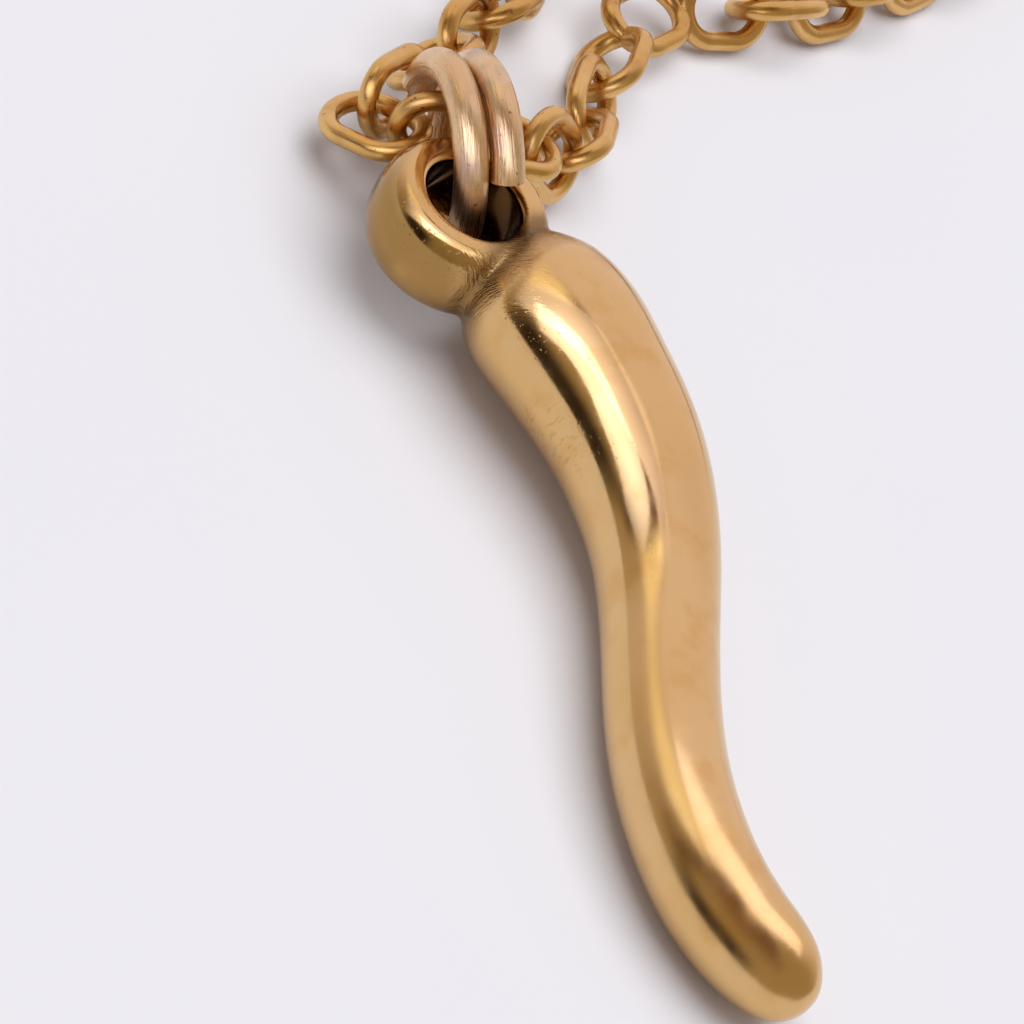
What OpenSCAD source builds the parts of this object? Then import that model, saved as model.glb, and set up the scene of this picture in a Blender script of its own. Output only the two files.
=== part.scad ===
// Horn pendant on a jump ring and a cable chain, laid on a flat surface.
// The lowest points of the horn, the ring, the chain and the clasp are on z = 0.
// The reference point is on the surface in the middle of the loop for the neck.
// The chain runs away from the pendant along +Y.

/* [Horn] */
// Length on the plan from the eyelet's axis to the blunt tip
horn_l = 25.8; // [24:0.1:28]
// Thickness of the horn at its shoulder
horn_d = 4.82; // [4.5:0.02:5.1]
// Thickness of the horn along its lower half
waist_d = 3.22; // [2.8:0.02:3.6]
// How far the bend carries the horn's middle to the side
sway = 2.66; // [1.8:0.02:3.4]
// How far the horn is held off the surface at its shoulder
horn_lift = 0.42; // [0.2:0.02:0.6]

/* [Eyelet] */
// Outer diameter of the barrel-shaped eyelet
eyelet_d = 5.2; // [5:0.02:5.4]
// Height of the eyelet
eyelet_h = 2.7; // [2.5:0.02:2.76]
// Diameter of its hole
hole_d = 2.9; // [2.7:0.02:3.1]
// Diameter of the crest of its rim
rim_d = 3.9; // [3.7:0.02:4.1]
// Rounding of the hole's edge at the top
hole_round = 0.35; // [0.2:0.01:0.4]
// Rounding of the hole's edge underneath, where the ring's wire comes in
under_round = 0.5; // [0.4:0.01:0.5]

/* [Jump ring] */
// Diameter of the jump ring's wire
ring_wire = 1.0; // [0.8:0.02:1.02]
// Diameter of the ring's turn between wire centres
ring_d = 5.06; // [5:0.02:5.2]
// Gap between the two turns where the ends lie side by side
ring_gap = 0.06; // [0.04:0.01:0.12]
// Angle of wire that lies past one full turn
ring_lap = 146; // [110:1:148]
// Lean of the ring out of the upright
ring_lean = 13.6; // [12:0.1:15]

/* [Chain] */
// Outer length of a link
link_l = 3.5; // [3.4:0.02:3.54]
// Outer width of a link
link_w = 2.6; // [2.5:0.02:2.64]
// Diameter of the link's wire
link_wire = 0.6; // [0.44:0.02:0.62]
// Clear space between links where one holds the next
link_gap = 0.12; // [0.1:0.01:0.2]
// Width of the loop that the chain makes for the neck
neck_w = 118; // [100:1:130]
// Length of the loop from the pendant to the clasp
neck_l = 150; // [130:1:165]

/* [Clasp] */
// Diameter of the barrel clasp
clasp_d = 2.6; // [2.4:0.05:2.9]
// Length of its barrel
clasp_l = 8; // [6:0.1:12]
// Diameter of the wire of its two end eyes
eye_wire = 0.6; // [0.5:0.02:0.7]

/* [Hidden] */
$fn = 32;

// Heading of the loop's middle line, from the pendant's own +X
lay = 42;
// Share of the loop's length at which its middle lies
neck_mid = 0.62 * neck_l;
// Height of the rim's crest, over the ring's wire, and of the eyelet's middle
crest_z = 4.0;
eyelet_z = crest_z - eyelet_h / 2;

// Sections of the horn from the eyelet to the tip. The columns are the distance
// along it as a share of horn_l, the place to the side as a share of sway, the
// radius as shares of half horn_d and half waist_d, and how far the section rises
// from lying on the surface to the eyelet's height.
horn_rows = [
    [0.053, 0.226, 0.415, 0.000, 1.00],
    [0.062, 0.292, 0.622, 0.000, 1.00],
    [0.073, 0.361, 0.768, 0.000, 1.00],
    [0.090, 0.452, 0.888, 0.000, 0.95],
    [0.111, 0.542, 0.970, 0.000, 0.60],
    [0.138, 0.628, 1.008, 0.000, 0.25],
    [0.174, 0.719, 1.008, 0.000, 0.00],
    [0.213, 0.820, 0.925, 0.075, 0.00],
    [0.260, 0.932, 0.800, 0.200, 0.00],
    [0.318, 0.996, 0.650, 0.350, 0.00],
    [0.376, 0.985, 0.460, 0.540, 0.00],
    [0.434, 0.902, 0.260, 0.740, 0.00],
    [0.496, 0.729, 0.100, 0.900, 0.00],
    [0.566, 0.481, 0.025, 0.975, 0.00],
    [0.640, 0.229, 0.010, 0.990, 0.00],
    [0.713, 0.053, 0.000, 1.000, 0.00],
    [0.787, -0.019, 0.000, 0.994, 0.00],
    [0.849, 0.019, 0.000, 0.985, 0.00],
    [0.893, 0.126, 0.000, 0.963, 0.04],
    [0.922, 0.212, 0.000, 0.930, 0.14],
    [0.950, 0.314, 0.000, 0.832, 0.26],
    [0.971, 0.390, 0.000, 0.665, 0.39],
    [0.984, 0.440, 0.000, 0.456, 0.51],
    [0.991, 0.463, 0.000, 0.238, 0.59]
];
// Sides of the horn's sections, and steps between two rows
horn_sides = 28;
horn_steps = 2;
// Where along the horn its lift off the surface starts to fade, and over what share
lift_from = 0.17;
lift_over = 0.6;

// Heading of the jump ring's axis, the angle at which its wire starts, and its
// middle: it stands on the surface and its near side passes down the hole
ring_head = -11;
ring_start = 2;
ring_turn = ring_wire + ring_gap;
ring_side = 0.37;
// Play of the ring in the hole and over the surface
ring_play = 0.02;
ring_mid = [ring_side, ring_d / 2 * cos(ring_head) - ring_play,
    ring_wire / 2 + ring_d / 2 * cos(ring_lean) - ring_turn / 2 * sin(ring_lean) + ring_play];
ring_sides = 14;
ring_steps = 70;

// The chosen poses of the links near the pendant, in order from the left strand
// through the ring to the right strand. The columns are x, y and z of the middle,
// heading, rise and roll.
near_links = [
    [5.77, 9.28, 1.76, -143.3, 4.3, 50.2],
    [4.03, 7.98, 1.88, -142.1, 2.6, 129.0],
    [2.29, 6.71, 1.94, -144.1, 4.0, 49.6],
    [0.47, 5.56, 1.91, -151.0, 4.9, 119.9],
    [-0.59, 4.33, 1.79, -64.7, 26.3, 9.1],
    [1.00, 3.47, 2.69, -17.0, 5.6, 83.2],
    [3.09, 3.05, 2.62, -0.3, -7.7, 173.2],
    [4.96, 3.30, 1.93, 0.4, -42.6, 49.7],
    [6.54, 4.35, 1.39, 51.7, -12.4, 133.7],
    [7.97, 5.95, 1.13, 52.4, -0.9, 45.2],
    [9.35, 7.61, 1.11, 51.5, -2.0, 127.5],
    [10.60, 9.12, 1.10, 53.2, 6.1, 46.3]
];
// Links of that list that belong to the left strand
left_near = 6;

// The chosen route of each strand round the neck. The columns are the place to
// the side as a share of half neck_w, and the distance as a share of neck_l.
route_rows = [
    [0.08, 0.14], [0.17, 0.23], [0.36, 0.35], [0.66, 0.49],
    [0.92, 0.63], [1.00, 0.76], [0.84, 0.89], [0.45, 0.972]
];

// Steps between two rows of the route
route_steps = 24;
// Length of chain over which a strand comes down to its resting height
settle_l = 14;
// Links over which a strand turns flat towards the clasp
flat_links = 7;

// Steps of a chain
pitch = link_l - 2 * link_wire - link_gap;
link_r = (link_w - link_wire) / 2;
link_s = (link_l - link_w) / 2;
// Radius of a clasp eye's wire circle, and the sink of the eye in the barrel's end
eye_r = (clasp_d - eye_wire) / 2;
eye_sink = eye_wire / 3;
// Distance from the clasp's middle to the end wire of the last link
hook_x = clasp_l / 2 - eye_sink + 2 * eye_r - (eye_wire + link_wire) / 2 - link_gap;

function turned(p) = let (w = 90 - lay)
    [p[0] * cos(w) - p[1] * sin(w), p[0] * sin(w) + p[1] * cos(w), p[2]];
function aim(heading, rise) = [cos(heading) * cos(rise), sin(heading) * cos(rise), sin(rise)];
function ease(t) = let (u = max(0, min(1, t))) u * u * (3 - 2 * u);

// A smooth line through the rows, with n steps from one row to the next
function between(a, b, c, d, t) =
    (2 * b + (c - a) * t + (2 * a - 5 * b + 4 * c - d) * t * t + (3 * b - a - 3 * c + d) * t * t * t) / 2;
function smooth(rows, n) = let (m = len(rows) - 1) concat(
    [for (i = [0 : m - 1]) for (k = [0 : n - 1])
        between(rows[max(i - 1, 0)], rows[i], rows[i + 1], rows[min(i + 2, m)], k / n)],
    [rows[m]]);
function lengths(p) = [for (i = 0, s = 0; i < len(p);
    s = s + (i < len(p) - 1 ? norm(p[i + 1] - p[i]) : 0), i = i + 1) s];

// A solid through rings of points, closed at both ends by flat faces
module skin(rings) {
    n = len(rings[0]);
    m = len(rings);
    polyhedron(
        points = [for (r = rings) for (p = r) p],
        faces = concat(
            [[for (k = [0 : n - 1]) k]],
            [for (i = [0 : m - 2]) for (k = [0 : n - 1]) for (h = [0, 1])
                let (a = i * n + k, b = i * n + (k + 1) % n)
                h == 0 ? [a, a + n, b] : [b, a + n, b + n]],
            [[for (k = [n - 1 : -1 : 0]) (m - 1) * n + k]]));
}
// A ring of points square to a direction
function round_at(c, dir, r, n) =
    let (d = dir / norm(dir), e = cross([0, 0, 1], d), s = e / norm(e), t = cross(d, s))
    [for (k = [0 : n - 1]) c + r * (cos(360 * k / n) * s + sin(360 * k / n) * t)];

// Middles and radii of the horn's sections
horn_line = [for (q = smooth(horn_rows, horn_steps))
    let (r = (q[2] * horn_d + q[3] * waist_d) / 2,
        free = r + horn_lift * (1 - ease((q[0] - lift_from) / lift_over)))
    [q[1] * sway, -q[0] * horn_l, q[4] * eyelet_z + (1 - q[4]) * free, r]];
function mid(q) = [q[0], q[1], q[2]];

// Edge of the eyelet's wall: the swelling outside and the rounded hole inside
wall_out = [for (a = [-90 : 12 : 90])
    [rim_d / 2 + (eyelet_d - rim_d) / 2 * cos(a), eyelet_z + eyelet_h / 2 * sin(a)]];
hole_in = concat(
    [for (a = [-90 : 15 : 0])
        [hole_d / 2 + under_round * (1 - cos(a)), eyelet_z - eyelet_h / 2 + under_round * (1 + sin(a))]],
    [for (a = [0 : 15 : 90])
        [hole_d / 2 + hole_round * (1 - cos(a)), eyelet_z + eyelet_h / 2 - hole_round * (1 - sin(a))]]);

// Height up to which the hole is kept clear, past the horn's shoulder
hole_top = eyelet_z + horn_d;

// The cast horn with its eyelet
module horn_pendant() {
    color([0.83, 0.66, 0.32])
    laid() difference() {
        union() {
            rotate_extrude($fn = 96)
                polygon(concat([[0, eyelet_z - eyelet_h / 2]], wall_out, [[0, eyelet_z + eyelet_h / 2]]));
            skin([for (i = [0 : len(horn_line) - 1])
                round_at(mid(horn_line[i]),
                    mid(horn_line[min(i + 1, len(horn_line) - 1)]) - mid(horn_line[max(i - 1, 0)]),
                    horn_line[i][3], horn_sides)]);
        }
        rotate_extrude($fn = 96)
            polygon(concat(
                [[0, 0], [hole_in[0][0], 0]], hole_in,
                [[hole_in[len(hole_in) - 1][0], hole_top], [0, hole_top]]));
    }
}

// The jump ring, a wire bent past one full turn
function ring_at(t) =
    let (d = [-sin(ring_head), cos(ring_head), 0],
        e = [cos(ring_head), sin(ring_head), 0],
        axis = cos(ring_lean) * e + sin(ring_lean) * [0, 0, 1],
        up = cos(ring_lean) * [0, 0, 1] - sin(ring_lean) * e)
    ring_mid + ring_d / 2 * (cos(t) * d + sin(t) * up)
        + axis * (ring_turn * (t - 90) / 360);
function ring_round(t) =
    let (dir = ring_at(t + 0.5) - ring_at(t - 0.5), d = dir / norm(dir),
        o = ring_at(t) - ring_mid, w = cross(d, o), s = w / norm(w), u = cross(s, d))
    [for (k = [0 : ring_sides - 1])
        ring_at(t) + ring_wire / 2 * (cos(360 * k / ring_sides) * s - sin(360 * k / ring_sides) * u)];
module jump_ring() {
    color([0.80, 0.66, 0.50])
    laid() skin([for (i = [0 : ring_steps])
        ring_round(ring_start + (360 + ring_lap) * i / ring_steps)]);
}

// One link, lying flat with its length along X
module link() {
    for (s = [0, 180]) rotate([0, 0, s]) {
        translate([link_s, 0, 0]) rotate([0, 0, -90])
            rotate_extrude(angle = 180) translate([link_r, 0]) circle(d = link_wire, $fn = 16);
        translate([-link_s, -link_r, 0]) rotate([0, 90, 0])
            cylinder(d = link_wire, h = 2 * link_s, $fn = 16);
    }
}
module posed(c, heading, rise, roll) {
    translate(c) rotate([0, 0, heading]) rotate([0, -rise, 0]) rotate([roll, 0, 0]) link();
}

// The far stretch of a strand: its start where the near links end, its route and its end at the clasp
function start_of(q, way) = turned([q[0], q[1], q[2]] + way * pitch / 2 * aim(q[3], q[4]));
function rest_z(flat) = link_wire / 2 + link_r * sin(45 + 45 * flat);
function route_of(side, start) = smooth(concat(
    [[start[0], start[1]]],
    [for (r = route_rows) [side * r[0] * neck_w / 2, r[1] * neck_l]],
    [[side * (hook_x + (link_l - link_wire - pitch) / 2), neck_l]]), route_steps);
// Number of links, odd or even so that the last one lies flat in the clasp's eye
function count_of(len, odd) = let (n = ceil(len / pitch)) n % 2 == odd ? n : n + 1;

module far_links(side, start, odd) {
    p = route_of(side, start);
    s = lengths(p);
    whole = s[len(s) - 1];
    n = count_of(whole, odd);
    tx = [for (i = [0 : len(p) - 1]) [s[i], p[i][0]]];
    ty = [for (i = [0 : len(p) - 1]) [s[i], p[i][1]]];
    flat = [for (k = [0 : n]) ease((k - n + flat_links + 1) / flat_links)];
    h = [for (k = [0 : n]) let (a = whole * k / n, b = ease(a / settle_l))
        [lookup(a, tx), lookup(a, ty), rest_z(flat[k]) * b + start[2] * (1 - b)]];
    for (k = [0 : n - 1]) {
        u = h[k + 1] - h[k];
        posed((h[k] + h[k + 1]) / 2, atan2(u[1], u[0]), asin(u[2] / norm(u)),
            45 + 90 * ((k + odd + 1) % 2) - 45 * (flat[k] + flat[k + 1]) / 2);
    }
}
module near_part(first, last) {
    rotate([0, 0, 90 - lay])
        for (i = [first : last])
            posed([near_links[i][0], near_links[i][1], near_links[i][2]],
                near_links[i][3], near_links[i][4], near_links[i][5]);
}
module chain_left() {
    color([0.80, 0.58, 0.26])
    translate([0, -neck_mid, 0]) {
        near_part(0, left_near - 1);
        far_links(-1, start_of(near_links[0], -1), 1);
    }
}
module chain_right() {
    color([0.78, 0.56, 0.24])
    translate([0, -neck_mid, 0]) {
        near_part(left_near, len(near_links) - 1);
        far_links(1, start_of(near_links[len(near_links) - 1], 1), 0);
    }
}

// The clasp, a plain barrel with an eye at each end
module clasp() {
    color([0.80, 0.60, 0.28])
    translate([0, neck_l - neck_mid, clasp_d / 2]) {
        translate([-clasp_l / 2, 0, 0]) rotate([0, 90, 0]) cylinder(d = clasp_d, h = clasp_l);
        for (s = [-1, 1])
            translate([s * (clasp_l / 2 - eye_sink + eye_r), 0, 0]) rotate([90, 0, 0])
                rotate_extrude() translate([eye_r, 0]) circle(d = eye_wire, $fn = 16);
    }
}

// Places a piece that is drawn about the eyelet's axis
module laid() {
    translate([0, -neck_mid, 0]) rotate([0, 0, 90 - lay]) children();
}

horn_pendant();
jump_ring();
chain_left();
chain_right();
clasp();
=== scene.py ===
"""Cornicello horn pendant on its jump ring and cable chain, laid on a pale surface in soft studio light."""
import math
import bpy
import bmesh
import numpy as np
from mathutils import Matrix, Vector
from mathutils.bvhtree import BVHTree


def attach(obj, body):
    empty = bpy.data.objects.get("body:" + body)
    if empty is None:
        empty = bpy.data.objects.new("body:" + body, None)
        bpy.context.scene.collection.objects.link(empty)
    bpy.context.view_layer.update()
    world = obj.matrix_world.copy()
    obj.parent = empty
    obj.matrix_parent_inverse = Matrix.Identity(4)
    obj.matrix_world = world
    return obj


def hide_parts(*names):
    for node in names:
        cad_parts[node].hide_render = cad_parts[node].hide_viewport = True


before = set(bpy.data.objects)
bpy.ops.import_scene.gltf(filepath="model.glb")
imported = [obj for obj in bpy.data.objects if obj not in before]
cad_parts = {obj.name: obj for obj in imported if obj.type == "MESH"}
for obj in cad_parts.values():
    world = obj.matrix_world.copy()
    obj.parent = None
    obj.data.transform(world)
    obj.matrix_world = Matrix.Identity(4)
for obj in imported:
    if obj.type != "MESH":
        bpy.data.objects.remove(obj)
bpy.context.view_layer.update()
scene = bpy.context.scene
MM = 0.001

# The pendant's place, as in the part's source: drawn about the eyelet's axis, then turned and moved
LAY_TURN = math.radians(48)
LAY_Y = -93.0


def linear(code):
    """The linear colour of an sRGB hex value such as D9B070."""
    parts = [int(code[i:i + 2], 16) / 255 for i in (0, 2, 4)]
    return [c / 12.92 if c <= 0.04045 else ((c + 0.055) / 1.055) ** 2.4 for c in parts] + [1.0]


def add(tree, kind, sockets=None, **settings):
    """Adds a node with its settings. A socket's value is a constant, or another node's output to link."""
    made = tree.nodes.new(kind)
    for name, value in settings.items():
        setattr(made, name, value)
    for key, value in (sockets or {}).items():
        if isinstance(value, bpy.types.NodeSocket):
            tree.links.new(value, made.inputs[key])
        else:
            made.inputs[key].default_value = value
    return made


# Camera, at the photograph's angle
LOOK_AT = (0.0, LAY_Y, 4.0)
CAM_AZIMUTH, CAM_RISE, CAM_ROLL = math.radians(-1), math.radians(42), math.radians(37)
CAM_DISTANCE = 170.0
CAM_SLIDE = (0.952, -8.852)
CAM_LENS, CAM_SENSOR = 213.4, 36.0


def place_camera():
    """The photograph's view: a long lens from above the pendant's tip, rolled."""
    back = Vector((math.sin(CAM_AZIMUTH) * math.cos(CAM_RISE),
                   -math.cos(CAM_AZIMUTH) * math.cos(CAM_RISE), math.sin(CAM_RISE)))
    level = Vector((math.cos(CAM_AZIMUTH), math.sin(CAM_AZIMUTH), 0))
    over = back.cross(level)
    right = math.cos(CAM_ROLL) * level + math.sin(CAM_ROLL) * over
    up = math.cos(CAM_ROLL) * over - math.sin(CAM_ROLL) * level
    place = Vector(LOOK_AT) + CAM_DISTANCE * back + CAM_SLIDE[0] * right + CAM_SLIDE[1] * up
    data = bpy.data.cameras.new("camera")
    data.lens, data.sensor_width = CAM_LENS, CAM_SENSOR
    data.clip_start, data.clip_end = 0.001, 20
    camera = bpy.data.objects.new("camera", data)
    turn = Matrix((right, up, back)).transposed().to_4x4()
    camera.matrix_world = Matrix.Translation(place * MM) @ turn
    scene.collection.objects.link(camera)
    scene.camera = camera


# Sizes of the horn and its eyelet, in millimetres, as in the part's source
HORN_L, HORN_D, WAIST_D, SWAY, HORN_LIFT = 25.8, 4.82, 3.22, 2.66, 0.42
EYELET_D, EYELET_H, HOLE_D, RIM_D = 5.2, 2.7, 2.9, 3.9
HOLE_ROUND, UNDER_ROUND = 0.35, 0.5
EYELET_Z = 4.0 - EYELET_H / 2
# The horn's lift off the surface fades out from this share along it, over this much of it
LIFT_FROM, LIFT_OVER = 0.17, 0.6
# Sections: share along, share of the sway, shares of half HORN_D and of half WAIST_D, and share of the height
# of the eyelet's middle
HORN_ROWS = [
    (0.053, 0.226, 0.415, 0.000, 1.00), (0.062, 0.292, 0.622, 0.000, 1.00),
    (0.073, 0.361, 0.768, 0.000, 1.00), (0.090, 0.452, 0.888, 0.000, 0.95),
    (0.111, 0.542, 0.970, 0.000, 0.60), (0.138, 0.628, 1.008, 0.000, 0.25),
    (0.174, 0.719, 1.008, 0.000, 0.00), (0.213, 0.820, 0.925, 0.075, 0.00),
    (0.260, 0.932, 0.800, 0.200, 0.00), (0.318, 0.996, 0.650, 0.350, 0.00),
    (0.376, 0.985, 0.460, 0.540, 0.00), (0.434, 0.902, 0.260, 0.740, 0.00),
    (0.496, 0.729, 0.100, 0.900, 0.00), (0.566, 0.481, 0.025, 0.975, 0.00),
    (0.640, 0.229, 0.010, 0.990, 0.00), (0.713, 0.053, 0.000, 1.000, 0.00),
    (0.787, -0.019, 0.000, 0.994, 0.00), (0.849, 0.019, 0.000, 0.985, 0.00),
    (0.893, 0.126, 0.000, 0.963, 0.04), (0.922, 0.212, 0.000, 0.930, 0.14),
    (0.950, 0.314, 0.000, 0.832, 0.26), (0.971, 0.390, 0.000, 0.665, 0.39),
    (0.984, 0.440, 0.000, 0.456, 0.51), (0.991, 0.463, 0.000, 0.238, 0.59)]
TIP_ROW = (0.993, 0.471, 0.0, 0.0, 0.65)
# The rounding between horn and barrel, the remesh's step and how much coarser that is in a quick trial
FILLET, VOXEL, QUICK_SCALE = 0.3, 0.085, 1.6
# The mesh is drawn onto the skin in this many steps, each this long at most
DRAWS, DRAW_STEP = 4, 0.15
# Marks on the casting: the reach of the neck's file marks and of its patina with painted shade, the depth and
# edge of the painted shade on the barrel's wall, its fade towards the horn, and the width of the painted
# light and painted shade at the hole's edge
CREASE_REACH, WALL_DEPTH, WALL_EDGE, WALL_FADE, HOLE_EDGE = 0.7, 0.5, 0.4, 0.8, 0.12


def ease(t):
    """A smooth step from 0 to 1."""
    u = np.clip(t, 0, 1)
    return u * u * (3 - 2 * u)


class Line:
    """A curve with smooth bending through rows of numbers, by distance along its first three columns."""

    def __init__(self, rows):
        self.rows = np.array(rows, float)
        steps = np.linalg.norm(np.diff(self.rows[:, :3], axis=0), axis=1)
        self.s = np.concatenate([[0], np.cumsum(steps)])
        n, h = len(self.s), steps
        slope = np.diff(self.rows, axis=0) / h[:, None]
        a = np.eye(n)
        b = np.zeros((n, self.rows.shape[1]))
        for i in range(1, n - 1):
            a[i, i - 1:i + 2] = h[i - 1], 2 * (h[i - 1] + h[i]), h[i]
            b[i] = 6 * (slope[i] - slope[i - 1])
        self.bend = np.linalg.solve(a, b)

    def at(self, t):
        """Values at distances t."""
        i = np.clip(np.searchsorted(self.s, t) - 1, 0, len(self.s) - 2)
        h = (self.s[i + 1] - self.s[i])[:, None]
        u = ((t - self.s[i]) / h[:, 0])[:, None]
        w = 1 - u
        p, q, m, k = self.rows[i], self.rows[i + 1], self.bend[i], self.bend[i + 1]
        return w * p + u * q + ((w ** 3 - w) * m + (u ** 3 - u) * k) * h * h / 6


def unit(v):
    """Vectors of length 1 in the same directions."""
    return v / np.maximum(np.linalg.norm(v, axis=-1, keepdims=True), 1e-9)


class HornSkin:
    """The horn's own skin, for finding distances: rings of points square to its line, closed at both ends."""
    SIDES, END_RINGS = 112, 22
    # In millimetres: how far a ring's direction is evened out and in what steps, the length of the tip's
    # round end, the space between rings, and the least squared radius
    REACH, EVEN_STEP, ROUND_END, RING_STEP, LEAST = 0.3, 0.05, 1.3, 0.11, 0.001

    def __init__(self):
        q = np.array(HORN_ROWS + [TIP_ROW])
        radius = (q[:, 2] * HORN_D + q[:, 3] * WAIST_D) / 2
        free = radius + HORN_LIFT * (1 - ease((q[:, 0] - LIFT_FROM) / LIFT_OVER))
        high = q[:, 4] * EYELET_Z + (1 - q[:, 4]) * free
        line = Line(np.c_[q[:, 1] * SWAY, -q[:, 0] * HORN_L, high, radius ** 2])
        whole = line.s[-1]
        even = np.arange(0, whole + self.EVEN_STEP, self.EVEN_STEP)
        ahead = unit(np.gradient(line.at(np.minimum(even, whole))[:, :3], axis=0))
        reach = np.exp(-0.5 * ((even[:, None] - even[None]) / self.REACH) ** 2)
        ahead = unit(reach @ ahead)
        t = np.concatenate([np.arange(0, whole - self.ROUND_END, self.RING_STEP),
                            whole - self.ROUND_END * (1 - np.linspace(0, 1, self.END_RINGS)[:-1]) ** 2])
        at = line.at(t)
        d = unit(np.stack([np.interp(t, even, ahead[:, i]) for i in range(3)], axis=1))
        side = unit(np.cross([0, 0, 1.0], d))
        over = np.cross(d, side)
        turn = np.linspace(0, 2 * math.pi, self.SIDES, endpoint=False)[None, :, None]
        rings = at[:, None, :3] + np.sqrt(np.maximum(at[:, 3], self.LEAST))[:, None, None] * (
            np.cos(turn) * side[:, None] + np.sin(turn) * over[:, None])
        self.rings = rings
        n, m = rings.shape[:2]
        self.points = np.vstack([rings.reshape(-1, 3), at[:1, :3], line.at(np.array([whole]))[:, :3]])
        i, k = np.meshgrid(np.arange(n - 1), np.arange(m), indexing="ij")
        a, b = i * m + k, i * m + (k + 1) % m
        c, e = a + m, b + m
        k = np.arange(m)
        a, b, c, e = a.ravel(), b.ravel(), c.ravel(), e.ravel()
        self.faces = np.vstack([np.c_[a, b, e], np.c_[a, e, c], np.c_[(k + 1) % m, k, np.full(m, n * m)],
                                np.c_[(n - 1) * m + k, (n - 1) * m + (k + 1) % m, np.full(m, n * m + 1)]])
        corner = self.points[self.faces]
        flat = np.cross(corner[:, 1] - corner[:, 0], corner[:, 2] - corner[:, 0])
        out = np.zeros_like(self.points)
        for j in range(3):
            np.add.at(out, self.faces[:, j], flat)
        middle = at[len(at) // 2, :3]
        if ((rings[len(at) // 2, 0] - middle) * out[(len(at) // 2) * m]).sum() < 0:
            out, self.faces = -out, self.faces[:, ::-1]
        self.out = unit(out)
        self.tree = BVHTree.FromPolygons(self.points.tolist(), self.faces.tolist())

    def depth(self, p):
        """Distance of points from the skin, below zero inside, and its direction."""
        found = [self.tree.find_nearest(q) for q in p.tolist()]
        spot = np.array([f[0][:] for f in found])
        face = self.faces[[f[2] for f in found]]
        a, b, c = (self.points[face[:, j]] for j in range(3))
        u, v, w = b - a, c - a, spot - a
        uu, uv, vv = (u * u).sum(1), (u * v).sum(1), (v * v).sum(1)
        wu, wv = (w * u).sum(1), (w * v).sum(1)
        down = np.maximum(uu * vv - uv * uv, 1e-14)
        s = np.clip((vv * wu - uv * wv) / down, 0, 1)[:, None]
        t = np.clip((uu * wv - uv * wu) / down, 0, 1)[:, None]
        n = unit((1 - s - t) * self.out[face[:, 0]] + s * self.out[face[:, 1]] + t * self.out[face[:, 2]])
        off = p - spot
        return np.sign((off * n).sum(1)) * np.linalg.norm(off, axis=1), n


HORN = HornSkin()


def barrel_depth(p):
    """Distance of points from the eyelet's barrel without its hole, and its direction."""
    r = np.maximum(np.hypot(p[:, 0], p[:, 1]), 1e-6)
    z = p[:, 2] - EYELET_Z
    swell = (EYELET_D - RIM_D) / 2
    x = np.maximum(r - RIM_D / 2, 0)
    value = (x / swell) ** 2 + (z / (EYELET_H / 2)) ** 2 - 1
    gr, gz = 2 * x / swell ** 2, 2 * z / (EYELET_H / 2) ** 2
    size = np.maximum(np.hypot(gr, gz), 1e-6)
    side = gr / size / r
    return value / size, np.c_[side * p[:, 0], side * p[:, 1], gz / size]


def pendant_depth(p):
    """Distance of points from the whole casting's surface, and its direction."""
    a, na = HORN.depth(p)
    b, nb = barrel_depth(p)
    h = np.clip(0.5 + 0.5 * (b - a) / FILLET, 0, 1)[:, None]
    f = (h[:, 0] * a + (1 - h[:, 0]) * b) - FILLET * h[:, 0] * (1 - h[:, 0])
    n = h * na + (1 - h) * nb
    r = np.maximum(np.hypot(p[:, 0], p[:, 1]), 1e-6)
    hole = HOLE_D / 2 - r
    nh = np.c_[-p[:, 0] / r, -p[:, 1] / r, np.zeros(len(p))]
    soft = UNDER_ROUND + (HOLE_ROUND - UNDER_ROUND) * ease((p[:, 2] - EYELET_Z) / 0.4 + 0.5)
    u, v = f + soft, hole + soft
    corner = (u > 0) & (v > 0)
    length = np.maximum(np.hypot(u, v), 1e-6)
    deep = np.where(corner, length - soft, np.maximum(f, hole))
    facing = np.where(corner[:, None], (u / length)[:, None] * n + (v / length)[:, None] * nh,
                      np.where((f > hole)[:, None], n, nh))
    return deep, unit(facing)


def bridge(bm, rings, closed=False):
    """Faces between each ring of corners and the next, and from the last to the first if closed."""
    for low, high in zip(rings, rings[1:] + ([rings[0]] if closed else [])):
        for k, corner in enumerate(low):
            after = (k + 1) % len(low)
            bm.faces.new((corner, low[after], high[after], high[k]))


def rough_casting():
    """A closed horn and barrel that overlap, for the remesh to join."""
    bm = bmesh.new()
    clear = HOLE_D / 2 + 0.35
    rings = [ring for ring in HORN.rings if np.hypot(*ring[:, :2].T).min() > clear]
    rings = [[bm.verts.new(q) for q in ring] for ring in rings]
    bridge(bm, rings)
    for end in (rings[0], rings[-1]):
        bm.faces.new(end)
    turns = []
    outline = [(RIM_D / 2 + (EYELET_D - RIM_D) / 2 * math.cos(a), EYELET_Z + EYELET_H / 2 * math.sin(a))
               for a in np.linspace(-math.pi / 2, math.pi / 2, 17)]
    outline += [(HOLE_D / 2, EYELET_Z + EYELET_H / 2 * z) for z in np.linspace(0.85, -0.85, 9)]
    for a in np.linspace(0, 2 * math.pi, 96, endpoint=False):
        turns.append([bm.verts.new((r * math.cos(a), r * math.sin(a), z)) for r, z in outline])
    bridge(bm, turns, closed=True)
    bmesh.ops.recalc_face_normals(bm, faces=bm.faces)
    data = bpy.data.meshes.new("rough")
    bm.to_mesh(data)
    bm.free()
    return data


def turned(points):
    """Turns points or directions about the eyelet's axis to the way that the pendant lies."""
    c, s = math.cos(LAY_TURN), math.sin(LAY_TURN)
    return np.c_[points[:, 0] * c - points[:, 1] * s, points[:, 0] * s + points[:, 1] * c, points[:, 2]]


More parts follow.
